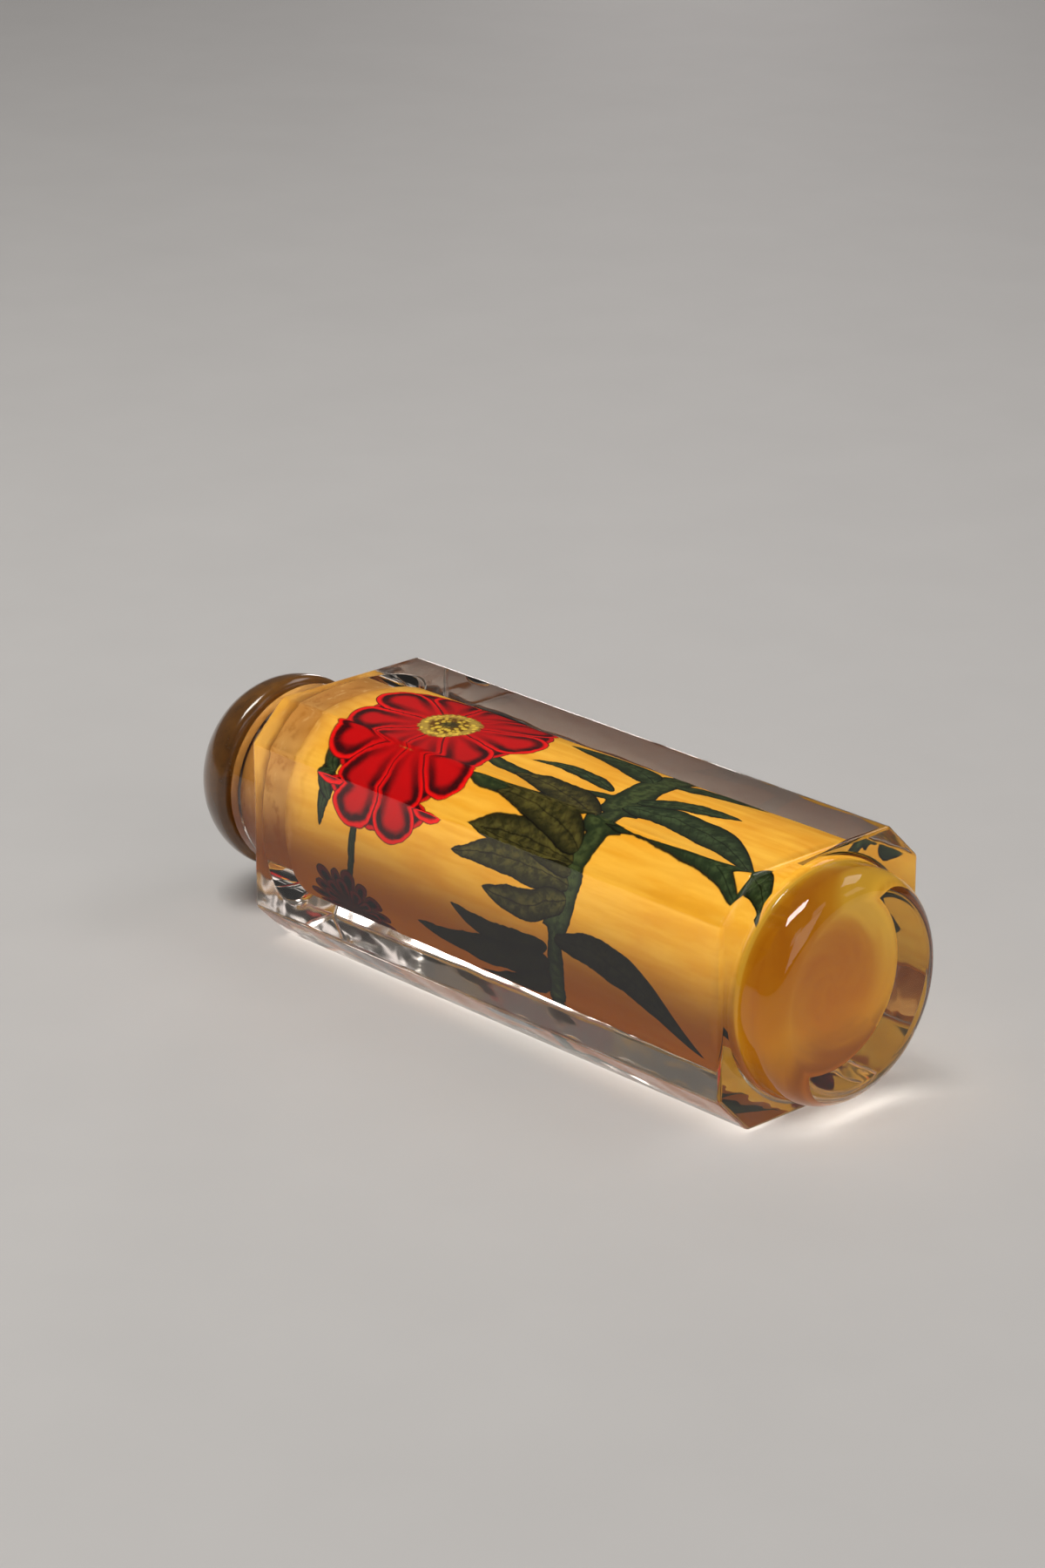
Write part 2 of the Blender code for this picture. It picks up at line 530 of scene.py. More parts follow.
stroke, came_in, goes_out = effect(
    "brush stroke",
    {
        "U": 0.0, "V": 0.0, "Start U": 0.0, "Start V": 0.0, "Turn": 0.0, "Length": 1.0,
        "Bend": 0.0, "Width": 1.0, "Leaf": 1.0, "Mottle": 0.5,
        "Body": colour(42, 42, 18), "Light": colour(104, 98, 44), "Line": colour(9, 8, 4),
    },
    {"Colour": "Color", "Cover": "Float", "Depth": "Float"},
)
off_u = minus(stroke, came_in["U"], came_in["Start U"])
off_v = minus(stroke, came_in["V"], came_in["Start V"])
cosine = calc(stroke, "COSINE", came_in["Turn"])
sine = calc(stroke, "SINE", came_in["Turn"])
run = plus(stroke, times(stroke, off_u, cosine), times(stroke, off_v, sine))
side = minus(stroke, times(stroke, off_v, cosine), times(stroke, off_u, sine))
along = calc(stroke, "DIVIDE", run, came_in["Length"])
gone = calc(stroke, "MINIMUM", calc(stroke, "MAXIMUM", along, 0.0), 1.0)
left = minus(stroke, 1.0, gone)
arch = times(stroke, times(stroke, gone, left), 4.0)
across = calc(stroke, "ABSOLUTE", minus(stroke, side, times(stroke, arch, came_in["Bend"])))

root = calc(stroke, "POWER", gone, LEAF_ROOT_POWER)
tip = calc(stroke, "POWER", left, LEAF_TIP_POWER)
leaf_form = times(stroke, times(stroke, root, tip), LEAF_FULLNESS)
stem_form = calc(stroke, "MULTIPLY_ADD", gone, -STEM_TAPER, 1.0)
stem_share = minus(stroke, 1.0, came_in["Leaf"])
form = plus(stroke, times(stroke, leaf_form, came_in["Leaf"]), times(stroke, stem_form, stem_share))
reach = times(stroke, form, came_in["Width"])
to_ends = calc(stroke, "MINIMUM", run, minus(stroke, came_in["Length"], run))
depth = calc(stroke, "MINIMUM", minus(stroke, reach, across), plus(stroke, to_ends, LINE_WIDTH))
stroke.links.new(depth, goes_out["Depth"])
stroke.links.new(ease(stroke, depth, -LINE_SOFT, LINE_SOFT), goes_out["Cover"])

share_across = calc(stroke, "DIVIDE", across, calc(stroke, "MAXIMUM", reach, LEAST_REACH))
glow = times(stroke, ease(stroke, share_across, *LIGHT_MIDDLE), came_in["Mottle"])
tone = mix(stroke, glow, came_in["Body"], came_in["Light"])
veins = calc(stroke, "SINE", times(stroke, minus(stroke, run, across), SIDE_VEINS_PER_MM))
vein_share = times(stroke, ease(stroke, veins, *SIDE_VEIN_LINE), came_in["Leaf"])
tone = mix(stroke, vein_share, tone, came_in["Line"])
midrib_share = times(stroke, ease(stroke, across, *MIDRIB_LINE), came_in["Leaf"])
tone = mix(stroke, midrib_share, tone, came_in["Line"])
outline = ease(stroke, depth, LINE_WIDTH, LINE_WIDTH + LINE_FADE, 1.0, 0.0)
tone = mix(stroke, outline, tone, came_in["Line"])
stroke.links.new(tone, goes_out["Colour"])
print("brush stroke:", len(stroke.nodes), "nodes")

# %% [markdown]
# ## A blossom
# A full blossom is a ring of rounded petals round its middle. In polar coordinates one petal is
# enough: the angle is cut into equal slices, and the distance from the slice's edge and from the
# petal's tip gives the depth of a point inside it. The painter leaves a bright rim, lays a dark
# band inside it, lets that fade towards the middle, and draws a fine dark outline.

# %% Blossom effect: the form of a petal
PETAL_STRAIGHT = 0.72
PETAL_ROUND = 1 - PETAL_STRAIGHT
SMALLEST_PETAL = 0.84
PETAL_STOP = (1.0, 1.02, 1.0, 0.0)

blossom, came_in, goes_out = effect(
    "blossom",
    {
        "U": 0.0, "V": 0.0, "Centre U": 0.0, "Centre V": 0.0, "Size": 5.0, "Petals": 8.0,
        "Turn": 0.0,
        "Rim": colour(222, 38, 34), "Body": colour(176, 18, 24), "Deep": colour(66, 6, 14),
    },
    {"Colour": "Color", "Cover": "Float"},
)
off_u = minus(blossom, came_in["U"], came_in["Centre U"])
off_v = minus(blossom, came_in["V"], came_in["Centre V"])
spread = distance(blossom, off_u, off_v)
slice_width = calc(blossom, "DIVIDE", math.tau, came_in["Petals"])
slices = calc(blossom, "DIVIDE", calc(blossom, "ARCTAN2", off_v, off_u), slice_width)
turned_by = plus(blossom, slices, came_in["Turn"])
number = calc(blossom, "FLOORED_MODULO", calc(blossom, "FLOOR", turned_by), came_in["Petals"])
from_middle = minus(blossom, calc(blossom, "FRACT", turned_by), 0.5)
chance = blossom.nodes.new("ShaderNodeTexWhiteNoise")
chance.noise_dimensions = "2D"
blossom.links.new(vector(blossom, number, came_in["Size"]), chance.inputs["Vector"])
growth = calc(blossom, "MULTIPLY_ADD", chance.outputs["Value"], 1 - SMALLEST_PETAL, SMALLEST_PETAL)
size = times(blossom, came_in["Size"], growth)
share = calc(blossom, "DIVIDE", spread, size)
past_straight = calc(blossom, "MAXIMUM", minus(blossom, share, PETAL_STRAIGHT), 0.0)
tip = calc(blossom, "DIVIDE", past_straight, PETAL_ROUND)
flank = times(blossom, calc(blossom, "ABSOLUTE", from_middle), 2.0)
fullness = distance(blossom, tip, flank)
half_slice = times(blossom, times(blossom, spread, slice_width), 0.5)
room = calc(blossom, "MINIMUM", times(blossom, size, PETAL_ROUND), half_slice)
depth = times(blossom, minus(blossom, 1.0, fullness), room)
inside_size = ease(blossom, share, *PETAL_STOP)
cover = times(blossom, ease(blossom, depth, -LINE_SOFT, LINE_SOFT), inside_size)
blossom.links.new(cover, goes_out["Cover"])
print("petal form:", len(blossom.nodes), "nodes")

# %% Blossom effect: the colours of a petal
STREAKS_ROUND = 9.0
STREAKS_OUT = 0.35
STREAK_STRENGTH = (0.6, 0.7)
BAND_BEGINS = (0.4, 0.75)
BAND_FADES = (0.95, 2.0, 1.0, 0.12)
BAND_GROWS_OUT = (0.3, 0.75, 0.3, 1.0)
RIM_GROWS_OUT = (0.35, 0.95)
RIM_BEGINS = (0.02, 0.35)
RIM_ENDS = (0.25, 0.75)
PETAL_OUTLINE = (LINE_WIDTH * 0.6, LINE_WIDTH + 0.08, 0.9, 0.0)

streaks_place = vector(
    blossom, times(blossom, turned_by, STREAKS_ROUND), times(blossom, spread, STREAKS_OUT)
)
streaks = noise(blossom, streaks_place, 1.0, 2.0)
band = times(blossom, ease(blossom, depth, *BAND_BEGINS), ease(blossom, depth, *BAND_FADES))
band = times(blossom, band, ease(blossom, share, *BAND_GROWS_OUT))
band = times(blossom, band, calc(blossom, "MULTIPLY_ADD", streaks, *STREAK_STRENGTH))
rim_from = ease(blossom, share, *RIM_GROWS_OUT, *RIM_BEGINS)
rim_to = ease(blossom, share, *RIM_GROWS_OUT, *RIM_ENDS)
tone = mix(blossom, ease(blossom, depth, rim_from, rim_to), came_in["Rim"], came_in["Body"])
tone = mix(blossom, band, tone, came_in["Deep"])
tone = mix(blossom, ease(blossom, depth, *PETAL_OUTLINE), tone, colour(38, 6, 10))
blossom.links.new(tone, goes_out["Colour"])
print("blossom:", len(blossom.nodes), "nodes")

# %% [markdown]
# ## The middle of a blossom
# The middle is a disc of yellow dabs with dark specks between them, and a small dark eye. Cells
# of a Voronoi texture are dabs of the right kind, because no two are alike.

# %% Blossom middle effect
EDGE_RAGGED = 0.9
DABS_PER_MM = 1.9
MIDDLE_STOP = (0.95, 1.03, 1.0, 0.0)
BETWEEN_DABS = (0.25, 0.62)
PALE_OUTSIDE = (0.55, 0.72, 0.0, 0.35)
DARK_EYE = (0.55, 1.25, 0.85, 0.0)
DARK_EDGE = (0.86, 1.0, 0.0, 0.7)

middle, came_in, goes_out = effect(
    "blossom middle",
    {"U": 0.0, "V": 0.0, "Centre U": 0.0, "Centre V": 0.0, "Size": 3.0},
    {"Colour": "Color", "Cover": "Float"},
)
off_u = minus(middle, came_in["U"], came_in["Centre U"])
off_v = minus(middle, came_in["V"], came_in["Centre V"])
spread = distance(middle, off_u, off_v)
disc_place = vector(middle, off_u, off_v)
ragged = noise(middle, disc_place, 2.2, 1.0)
least_edge = minus(middle, came_in["Size"], EDGE_RAGGED / 2)
edge = calc(middle, "MULTIPLY_ADD", ragged, EDGE_RAGGED, least_edge)
share = calc(middle, "DIVIDE", spread, edge)
middle.links.new(ease(middle, share, *MIDDLE_STOP), goes_out["Cover"])
dabs = middle.nodes.new("ShaderNodeTexVoronoi")
middle.links.new(disc_place, dabs.inputs["Vector"])
dabs.inputs["Scale"].default_value = DABS_PER_MM
between = ease(middle, dabs.outputs["Distance"], *BETWEEN_DABS)
tone = mix(middle, between, colour(206, 180, 60), colour(92, 62, 16))
tone = mix(middle, ease(middle, share, *PALE_OUTSIDE), tone, colour(232, 206, 92))
tone = mix(middle, ease(middle, spread, *DARK_EYE), tone, colour(40, 44, 22))
tone = mix(middle, ease(middle, share, *DARK_EDGE), tone, colour(80, 20, 12))
middle.links.new(tone, goes_out["Colour"])
print("blossom middle:", len(middle.nodes), "nodes")

# %% [markdown]
# ## The painting
# A picture could be an image on a UV map, but this one is worked out by nodes, so it stays sharp
# at any distance. The wall is unrolled by its angle round the axis: U runs along the bottle and V
# round it, both in millimetres, with V at 0 on the near side and growing over the top. The seam
# of that angle is turned to the side that the bottle lies on. A little noise is added to U and V,
# so that every line looks drawn by hand.

# %% Painting: the unrolled wall
WALL_RADIUS_MM = 8.8
MM_PER_M = 1000.0
SEAM_TURN = math.radians(45)
WOBBLES_PER_M = 260.0
SHIVERS_PER_M = 1500.0

painting, paint, paint_shader, object_place = new_material("inside painting")
paint_shader.inputs["Specular IOR Level"].default_value = 0.0
parts = split(paint, object_place)
along_mm = times(paint, parts["X"], MM_PER_M)
near = times(paint, parts["Y"], -1.0)
high = minus(paint, parts["Z"], axis_z)
seam_cos = math.cos(SEAM_TURN)
seam_sin = math.sin(SEAM_TURN)
turned_y = minus(paint, times(paint, high, seam_cos), times(paint, near, seam_sin))
turned_x = plus(paint, times(paint, near, seam_cos), times(paint, high, seam_sin))
angle = plus(paint, calc(paint, "ARCTAN2", turned_y, turned_x), SEAM_TURN)
round_mm = times(paint, angle, WALL_RADIUS_MM)

wobble = noise(paint, object_place, WOBBLES_PER_M, 1.0)
shiver = noise(paint, object_place, SHIVERS_PER_M, 1.0)


def unsteady(place_mm, wobble_mm, shiver_mm):
    """A place on the wall shifted a little, as by an unsteady hand."""
    for shake, reach_mm in ((wobble, wobble_mm), (shiver, shiver_mm)):
        place_mm = plus(paint, place_mm, calc(paint, "MULTIPLY_ADD", shake, reach_mm, -reach_mm / 2))
    return place_mm


u = unsteady(along_mm, wobble_mm=1.2, shiver_mm=0.24)
v = unsteady(round_mm, wobble_mm=-1.0, shiver_mm=-0.24)
print("wall unrolled, one turn is", round(math.tau * WALL_RADIUS_MM, 1), "mm")

# %% [markdown]
# The whole wall is first laid in yellow ochre, a little darker and a little lighter from stroke
# to stroke. Towards the neck it passes into an old, paler cream with brown and pale dabs. Low
# down the side it turns brown as painted shade, where the lamps reach the wall least.

# %% Painting: the ground
OCHRE = colour(224, 163, 42)
LIGHT_OCHRE = colour(236, 184, 68)
CLOUDY_OCHRE = colour(206, 130, 22)
CREAM = colour(206, 160, 90)
OLD_CREAM = colour(172, 122, 58)
BROWN_DAB = colour(150, 98, 36)
PALE_DAB = colour(228, 196, 134)
PAINTED_SHADE_BROWN = colour(180, 90, 5)
BRUSH_ALONG = 0.05
BRUSH_ROUND = 0.4
DABS_ALONG = 0.5
DABS_ROUND = 0.22
CREAM_FADES = (-2.0, 5.0)
PAINTED_SHADE_MIDDLE_MM = -14.0
PAINTED_SHADE_REACH = (9.0, 17.5, 0.85, 0.0)

brush_along = times(paint, along_mm, BRUSH_ALONG)
brush_place = vector(paint, brush_along, times(paint, round_mm, BRUSH_ROUND))
brush_marks = noise(paint, brush_place, 1.6, 4.0, 0.55)
clouds = noise(paint, object_place, 130.0, 3.0)
mottle = noise(paint, object_place, 1100.0, 3.0, 0.6)
dabs_along = times(paint, along_mm, DABS_ALONG)
dabs_place = vector(paint, dabs_along, times(paint, round_mm, DABS_ROUND))
dabs = noise(paint, dabs_place, 1.3, 3.0, 0.6)

ground = mix(paint, ease(paint, brush_marks, 0.3, 0.7), OCHRE, LIGHT_OCHRE)
ground = mix(paint, ease(paint, clouds, 0.45, 0.75, 0.0, 0.35), ground, CLOUDY_OCHRE)
cream = mix(paint, ease(paint, clouds, 0.35, 0.65), CREAM, OLD_CREAM)
cream = mix(paint, ease(paint, dabs, 0.52, 0.66, 0.0, 0.6), cream, BROWN_DAB)
cream = mix(paint, ease(paint, dabs, 0.28, 0.42, 0.45, 0.0), cream, PALE_DAB)
past_shoulder = minus(paint, along_mm, chamber_shoulder_x * MM_PER_M)
ground = mix(paint, ease(paint, past_shoulder, *CREAM_FADES, 1.0, 0.0), ground, cream)
# painted shade: the ground turns brown low down the side, towards the underside
from_painted_shade = calc(paint, "ABSOLUTE", minus(paint, round_mm, PAINTED_SHADE_MIDDLE_MM))
ground = mix(paint, ease(paint, from_painted_shade, *PAINTED_SHADE_REACH), ground, PAINTED_SHADE_BROWN)
print("ground laid")

# %% [markdown]
# The foot end of the hollow is a round patch of the same ochre, worked round and round with the
# brush. It is darker in the middle, with a soft curl in it. A light rim on its upper side is a
# painted highlight, and a darker brown low down is painted shade. It is mixed here and laid last,
# over the tips of the leaves, because no plant grows on to it.

# %% Painting: the round end
CURL_TURN = 0.8
CURL_WIND = 0.25
CURL_OUT = 0.3
END_MIDDLE = (3.0, 7.5, 0.6, 0.0)
END_HIGHLIGHT_RIM = (6.6, 9.0)
END_HIGHLIGHT_RIM_WANDER_MM = 3.0
END_HIGHLIGHT_UPPER = (-0.004, 0.005, 0.15, 1.0)
END_PAINTED_SHADE = (-0.006, -0.001, 0.85, 0.0)
END_PAINTED_SHADE_WANDER = 0.004
END_TURNS_OVER = (-0.5, -0.05)

spread_mm = times(paint, distance(paint, near, high), MM_PER_M)
curl_round = calc(paint, "MULTIPLY_ADD", angle, CURL_TURN, times(paint, spread_mm, CURL_WIND))
curl = noise(paint, vector(paint, curl_round, times(paint, spread_mm, CURL_OUT)), 1.4, 3.0)
end_tone = mix(
    paint, ease(paint, curl, 0.3, 0.7, 0.0, 0.5), colour(230, 160, 34), colour(206, 122, 8)
)
end_tone = mix(paint, ease(paint, spread_mm, *END_MIDDLE), end_tone, colour(192, 104, 4))
highlight_rim_place = calc(paint, "MULTIPLY_ADD", curl, END_HIGHLIGHT_RIM_WANDER_MM, spread_mm)
# painted highlight: a light rim on the upper side of the round end
painted_highlight_rim = times(paint, ease(paint, highlight_rim_place, *END_HIGHLIGHT_RIM), ease(paint, high, *END_HIGHLIGHT_UPPER))
end_tone = mix(paint, painted_highlight_rim, end_tone, colour(250, 198, 66))
# painted shade: darker brown low down on the round end
painted_shade_place = calc(paint, "MULTIPLY_ADD", curl, END_PAINTED_SHADE_WANDER, high)
end_tone = mix(paint, ease(paint, painted_shade_place, *END_PAINTED_SHADE), end_tone, colour(136, 64, 4))
past_foot_end = minus(paint, along_mm, chamber_foot_x * MM_PER_M)
at_end = ease(paint, past_foot_end, *END_TURNS_OVER)
print("round end mixed")

# %% [markdown]
# The plants are lists of strokes: where each starts and ends on the unrolled wall, how far its
# middle bows out, and how wide it is. The leaves hang in loose groups from stems that cross the
# bottle. The big blossom is on the upper side near the neck, a half-shaded one is low on the near
# side, and a bud is on the far side. Some leaves and the blossom low on the near side get darker
# colours as painted shade, since the lamps reach that side least. The stems melt into one another
# where they meet, so they are joined by their depth before they get their colour.

# %% Painting: lists of stems and leaves
STEMS = (
    ((11.4, -20.0), (14.0, -7.0), 0.8, 1.2),
    ((13.6, -8.5), (15.0, 1.5), -0.5, 1.15),
    ((14.8, 0.6), (16.6, 10.6), -0.6, 1.5),
    ((16.8, 9.0), (13.8, 22.5), 0.6, 2.3),
    ((13.8, 21.5), (3.4, 30.5), -1.0, 1.0),
    ((-14.4, 4.4), (-15.4, -4.6), 0.3, 0.5),
    ((-3.4, 10.6), (14.6, 11.4), -1.2, 0.8),
)
GREENS = {
    "olive": (colour(29, 30, 11), colour(82, 78, 34)),
    "deep": (colour(26, 38, 22), colour(56, 74, 44)),
    # the shade pair is leaf green darkened as painted shade, for leaves low on the near side
    "shade": (colour(11, 10, 4), colour(30, 30, 13)),
}
LEAVES = (
    # upper group
    ((16.0, 5.4), (-0.2, 4.4), -1.1, 2.1, "olive"),
    ((16.0, 6.6), (2.0, 9.4), -1.3, 2.0, "olive"),
    ((16.0, 4.0), (4.6, 2.0), 1.0, 1.7, "olive"),
    # lower group
    ((14.0, -1.6), (0.2, -1.0), 1.2, 1.4, "shade"),
    ((14.2, -3.2), (-5.2, -5.0), 1.0, 2.0, "shade"),
    ((13.8, -4.6), (2.4, -9.4), 1.3, 1.6, "shade"),
    # long leaves towards the foot
    ((15.0, -0.2), (33.6, -7.4), 2.7, 1.8, "shade"),
    ((16.4, 10.4), (37.0, 6.6), 2.7, 1.9, "deep"),
    ((16.6, 12.0), (26.9, 15.6), 0.8, 1.3, "deep"),
    # leaves over the top
    ((13.6, 17.0), (0.0, 19.6), -1.6, 2.3, "deep"),
    ((15.4, 18.4), (25.4, 21.6), 1.2, 2.0, "deep"),
    ((12.8, 12.4), (1.0, 12.8), -1.0, 0.9, "deep"),
    # by the blossoms
    ((-19.2, 7.6), (-19.8, 1.8), 0.3, 0.85, "deep"),
    ((-18.4, 4.6), (-21.2, 9.8), 0.3, 0.8, "deep"),
    # far side and underside
    ((9.8, 24.6), (21.9, 29.0), 1.4, 1.9, "olive"),
    ((7.2, 26.8), (14.9, 33.0), 0.8, 1.5, "olive"),
    ((11.6, -13.0), (23.4, -16.8), 1.6, 1.8, "deep"),
    ((12.0, -15.0), (-0.6, -17.4), -1.4, 1.6, "deep"),
)
print("plants:", len(STEMS), "stems and", len(LEAVES), "leaves")

# %% Painting: stems and leaves
STEM_MELT = 0.8
STEM_LIGHT = (0.1, 1.1)
STEM_OUTLINE = (0.08, 0.2, 1.0, 0.0)

mottle_share = ease(paint, mottle, 0.35, 0.65, 0.15, 1.0)


def lay(picture, painted):
    """Put one more painted thing over the picture so far."""
    return mix(paint, painted["Cover"], picture, painted["Colour"])


def stroke_at(start, end, bend, width, leaf, green):
    """One stroke from a start to an end on the unrolled wall, in millimetres."""
    run_u = end[0] - start[0]
    run_v = end[1] - start[1]
    return use(
        paint, stroke, U=u, V=v, Start_U=start[0], Start_V=start[1],
        Turn=math.atan2(run_v, run_u), Length=math.hypot(run_u, run_v),
        Bend=bend, Width=width, Leaf=leaf, Mottle=mottle_share,
        Body=GREENS[green][0], Light=GREENS[green][1],
    )


stem_depths = [stroke_at(*stem, 0.0, "deep")["Depth"] for stem in STEMS]
stem_depth = stem_depths[0]
for next_depth in stem_depths[1:]:
    stem_depth = calc(paint, "SMOOTH_MAX", stem_depth, next_depth, STEM_MELT)
stem_glow = times(paint, ease(paint, stem_depth, *STEM_LIGHT), mottle_share)
stem_tone = mix(paint, stem_glow, GREENS["deep"][0], colour(64, 78, 42))
stem_tone = mix(paint, ease(paint, stem_depth, *STEM_OUTLINE), stem_tone, colour(14, 14, 8))
picture = mix(paint, ease(paint, stem_depth, -LINE_SOFT, LINE_SOFT), ground, stem_tone)
for start, end, bend, width, green in LEAVES:
    picture = lay(picture, stroke_at(start, end, bend, width, 1.0, green))
print("plants painted")

# %% [markdown]
# The big blossom and the half-shaded one are two rings of petals each, the lower ring first. The
# half-shaded one has more petals, and its darker reds are painted shade, because it lies low on
# the near side. The big one gets its yellow middle on top. The paint has no shine of its own,
# because it lies against the crystal, where no gloss can form.

# %% Painting: blossoms and the finished picture
BIG_BLOSSOM = (-11.8, 13.6)
SIDE_BLOSSOM = (-16.2, -8.0)
FAR_BUD = (-0.6, 31.0)
MIDDLE_SIZE = 3.3

# centre, size, petals, turn, rim, body and deep band
RINGS = (
    # the side blossom's dark reds are painted shade
    (SIDE_BLOSSOM, 6.4, 15.0, 0.2, (88, 8, 10), (38, 3, 5), (14, 1, 3)),
    (SIDE_BLOSSOM, 4.4, 11.0, 0.6, (98, 10, 12), (46, 4, 6), (16, 1, 3)),
    (FAR_BUD, 3.2, 5.0, 0.1, (120, 12, 16), (70, 6, 10), (26, 2, 5)),
    (BIG_BLOSSOM, 11.4, 9.0, 0.80, (196, 10, 12), (126, 5, 8), (40, 2, 6)),
    (BIG_BLOSSOM, 11.8, 9.0, 0.30, (220, 10, 10), (188, 6, 10), (48, 1, 5)),
)
for centre, size, petals, turn, rim, body, deep in RINGS:
    picture = lay(picture, use(
        paint, blossom, U=u, V=v, Centre_U=centre[0], Centre_V=centre[1], Size=size,
        Petals=petals, Turn=turn, Rim=colour(*rim), Body=colour(*body), Deep=colour(*deep),
    ))
picture = lay(picture, use(
    paint, middle, U=u, V=v, Centre_U=BIG_BLOSSOM[0], Centre_V=BIG_BLOSSOM[1], Size=MIDDLE_SIZE,
))
picture = mix(paint, at_end, picture, end_tone)

paint.links.new(picture, paint_shader.inputs["Base Color"])
paint_roughness = ease(paint, mottle, 0.3, 0.7, 0.5, 0.62)
paint.links.new(paint_roughness, paint_shader.inputs["Roughness"])
inside_painting.data.materials.append(painting)
print("painting:", len(paint.nodes), "nodes")

# %% [markdown]
# ## Clear crystal
# Rock crystal is clear, a little rosy where it is thick, and polished. Its transmission and its
# index are plain values. The flats are truest, because the picture is seen through them. The cut
# corners and the end round the neck are ground by hand, so a mask makes them a little rougher and
# gives them stronger waves, and what is seen in them runs into soft gleams. A lamp's light can't
# find its way through bent glass by chance, so rays that only ask whether a lamp is in sight pass
# straight through, and the painting is lit.

# %% Crystal: where it is ground by hand
CUT_BEGINS = (-0.0010, -0.0002)
PAST_NECK_BEGINS = (0.0004, 0.0010)
NECK_END_FADES = (0.0003, 0.0009)

glass, tree, shader, crystal_place = new_material("clear crystal")
place = split(tree, crystal_place)
to_side = calc(tree, "ABSOLUTE", place["Y"])
to_top = calc(tree, "ABSOLUTE", minus(tree, place["Z"], axis_z))
cut_sum = (block_width + block_height) / 2 - CORNER_CUT
on_cut = ease(tree, minus(tree, plus(tree, to_side, to_top), cut_sum), *CUT_BEGINS)
from_neck = minus(tree, distance(tree, to_side, to_top), NECK_RADIUS)
past_neck = ease(tree, from_neck, *PAST_NECK_BEGINS)
near_end = ease(tree, minus(tree, place["X"], block_neck_x), *NECK_END_FADES, 1.0, 0.0)
hand_ground = calc(tree, "MAXIMUM", on_cut, times(tree, near_end, past_neck))
print("hand-ground mask ready, cut corners at", round(cut_sum, 4), "m")

# %% Crystal material
CRYSTAL_IOR = 1.52
ROSY_TINT = (0.985, 0.930, 0.865, 1.0)
CLEARER_TINT = (0.995, 0.955, 0.905, 1.0)
SHADOW_TINT = (0.96, 0.95, 0.94, 1.0)
FLAT_ROUGHNESS = 0.012
HAND_GROUND_ROUGHNESS = 0.10
FINEST_WAVE = 0.00006
HAND_GROUND_WAVE = 0.00036

shader.inputs["Metallic"].default_value = 0.0
shader.inputs["Transmission Weight"].default_value = 1.0
shader.inputs["IOR"].default_value = CRYSTAL_IOR
haze = ease(tree, noise(tree, crystal_place, 160.0, 3.0), 0.35, 0.7)
tint = mix(tree, haze, ROSY_TINT, CLEARER_TINT)
tree.links.new(tint, shader.inputs["Base Color"])
wear = ease(tree, noise(tree, crystal_place, 240.0, 2.0), 0.45, 0.8, 0.0, FLAT_ROUGHNESS)
roughness = calc(tree, "MULTIPLY_ADD", hand_ground, HAND_GROUND_ROUGHNESS, wear)
tree.links.new(roughness, shader.inputs["Roughness"])
waves = noise(tree, crystal_place, 170.0, 1.0)
fine_bump = tree.nodes.new("ShaderNodeBump")
fine_bump.inputs["Strength"].default_value = 1.0
fine_bump.inputs["Distance"].default_value = FINEST_WAVE
tree.links.new(waves, fine_bump.inputs["Height"])
hand_bump = tree.nodes.new("ShaderNodeBump")
hand_bump.inputs["Distance"].default_value = HAND_GROUND_WAVE
tree.links.new(hand_ground, hand_bump.inputs["Strength"])
tree.links.new(waves, hand_bump.inputs["Height"])
tree.links.new(fine_bump.outputs["Normal"], hand_bump.inputs["Normal"])
tree.links.new(hand_bump.outputs["Normal"], shader.inputs["Normal"])

see_through = tree.nodes.new("ShaderNodeBsdfTransparent")
see_through.inputs["Color"].default_value = SHADOW_TINT
which_ray = tree.nodes.new("ShaderNodeLightPath")
choose = tree.nodes.new("ShaderNodeMixShader")
tree.links.new(which_ray.outputs["Is Shadow Ray"], choose.inputs[0])
tree.links.new(shader.outputs[0], choose.inputs[1])
tree.links.new(see_through.outputs[0], choose.inputs[2])
tree.links.new(choose.outputs[0], tree.nodes["Material Output"].inputs["Surface"])
crystal.data.materials.clear()
crystal.data.materials.append(glass)
print("crystal:", len(tree.nodes), "nodes")

# %% [markdown]
# ## Dark stone
# The stopper is a dark olive and brown stone, polished until it shines. Clouds of two browns run
# through it with finer veins, and a clear coat gives the wet gloss of the lip.

# %% Stopper material
LIGHT_BROWN = colour(118, 78, 30)
DARK_BROWN = colour(92, 58, 20)
VEIN_BROWN = colour(56, 36, 13)
STONE_COAT = 0.6
STONE_COAT_ROUGHNESS = 0.05

stone, tree, shader, stone_place = new_material("smoky stone")
clouds = noise(tree, stone_place, 150.0, 4.0, 0.55)
veins = noise(tree, stone_place, 520.0, 5.0, 0.65)
tone = mix(tree, ease(tree, clouds, 0.35, 0.65), DARK_BROWN, LIGHT_BROWN)
tone = mix(tree, ease(tree, veins, 0.52, 0.66, 0.0, 0.4), tone, VEIN_BROWN)
tree.links.new(tone, shader.inputs["Base Color"])
tree.links.new(ease(tree, veins, 0.35, 0.7, 0.16, 0.28), shader.inputs["Roughness"])
shader.inputs["Coat Weight"].default_value = STONE_COAT
shader.inputs["Coat Roughness"].default_value = STONE_COAT_ROUGHNESS
dome.data.materials.clear()
dome.data.materials.append(stone)
print("stone:", len(tree.nodes), "nodes")

# %% [markdown]
# ## Floor and light
# The floor is plain and pale. It lies a fifth of a millimetre under the bottle, because a real
# polished face never quite touches a table, and the thin gap of air is what makes that face work
# as a mirror from within. Most of the light is one soft box nearly overhead. A fainter one stands
# beyond the foot, and small dim ones are placed where the cut corners and edges will mirror them.

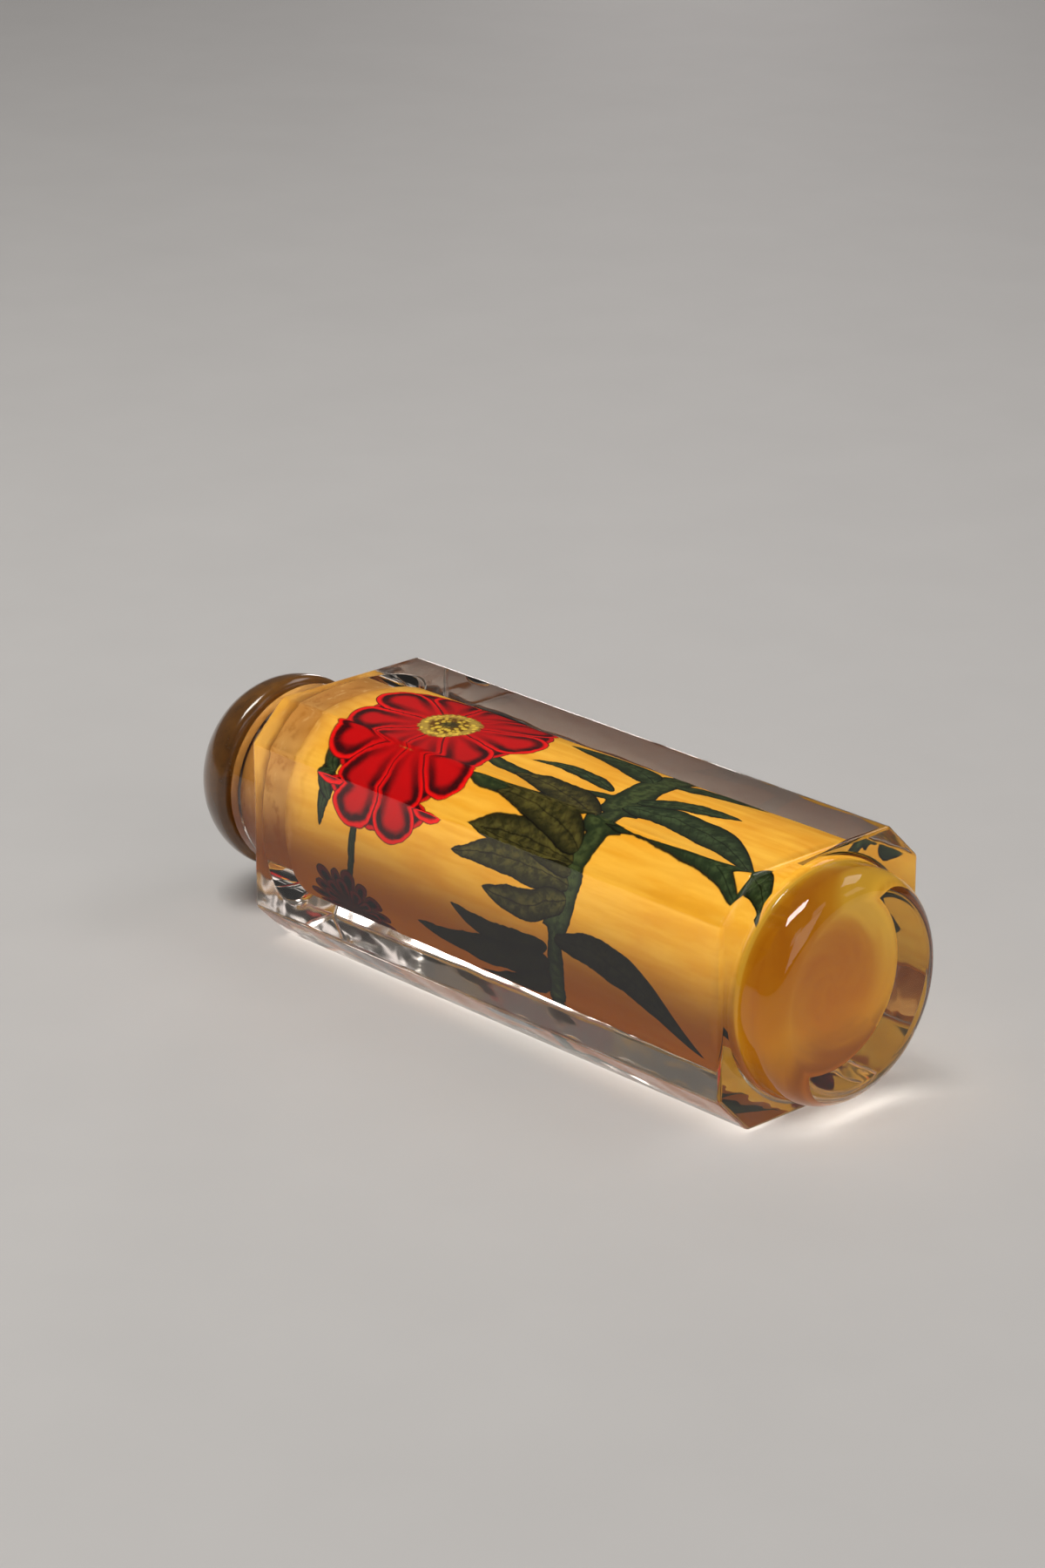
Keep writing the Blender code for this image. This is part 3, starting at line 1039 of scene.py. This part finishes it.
# %% Floor
FLOOR_GAP = 0.0002
FLOOR_SIZE = 4.0
FLOOR_ROUGHNESS = 0.7
FLOOR_GREY = colour(190, 191, 193)
FLOOR_PALER_GREY = colour(196, 197, 199)

floor_z = bottle_low.z - FLOOR_GAP
bpy.ops.object.select_all(action="DESELECT")
bpy.ops.mesh.primitive_plane_add(size=FLOOR_SIZE, location=(0.0, 0.0, floor_z))
floor = bpy.context.object
floor.name = "floor"
bpy.ops.object.transform_apply(location=True, rotation=True, scale=True)
floor_paint, tree, shader, floor_place = new_material("pale floor")
grain = noise(tree, floor_place, 60.0, 4.0)
tone = mix(tree, grain, FLOOR_GREY, FLOOR_PALER_GREY)
tree.links.new(tone, shader.inputs["Base Color"])
shader.inputs["Roughness"].default_value = FLOOR_ROUGHNESS
floor.data.materials.append(floor_paint)
print("floor at", round(floor_z, 5), "m")

# %% Lights
MIDDLE = Vector((0.0, 0.0, axis_z))
ROOM_COLOUR = (0.90, 0.84, 0.78, 1.0)
ROOM_STRENGTH = 0.10


def soft_box(name, direction, away, width, depth, watts, warmth):
    """A rectangular lamp in a direction from the bottle, facing it."""
    lamp = bpy.data.lights.new(name, "AREA")
    lamp.shape = "RECTANGLE"
    lamp.size = width
    lamp.size_y = depth
    lamp.energy = watts
    lamp.color = warmth
    holder = bpy.data.objects.new(name, lamp)
    bpy.context.collection.objects.link(holder)
    towards = Vector(direction).normalized()
    holder.location = MIDDLE + towards * away
    holder.rotation_euler = (-towards).to_track_quat("-Z", "Y").to_euler()


soft_box("overhead box", (-0.20, -0.26, 0.94), 0.7, 0.22, 0.34, 3.9, (1.0, 0.95, 0.88))
soft_box("foot fill", (0.93, -0.08, 0.36), 0.9, 0.50, 0.50, 1.1, (1.0, 0.95, 0.90))
soft_box("back glint", (0.20, 0.64, 0.74), 0.9, 0.45, 0.26, 0.9, (1.0, 0.93, 0.91))
for side_y, side_z in ((-0.36, 0.60), (0.10, 0.69), (0.60, 0.36)):
    soft_box("side glint", (0.71, side_y, side_z), 0.9, 0.20, 0.20, 0.12, (1.0, 0.92, 0.90))
soft_box("edge glint", (-0.687, 0.715, 0.12), 0.9, 0.10, 0.20, 0.35, (1.0, 0.94, 0.92))

world = bpy.data.worlds.new("pale room")
bpy.context.scene.world = world
world.use_nodes = True
room = world.node_tree.nodes["Background"]
room.inputs["Color"].default_value = ROOM_COLOUR
room.inputs["Strength"].default_value = ROOM_STRENGTH
bpy.context.scene.view_settings.view_transform = "Standard"
print("lamps:", len(bpy.data.lights), "in a dim pale room")

# %% [markdown]
# ## Fit the pieces to the frame
# Each piece rides on the bottle's one body. The new crystal and the new stopper stand for their
# CAD nodes, which stay behind for collision. The painting is on top of what the nodes show.

# %% Ride and replace
PIECES = ((crystal, "bottle", "crystal"), (dome, "stopper", "smoky_stone"))
for piece, node, finish in PIECES:
    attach(piece, "root")
    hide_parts(node)
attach(inside_painting, "root")
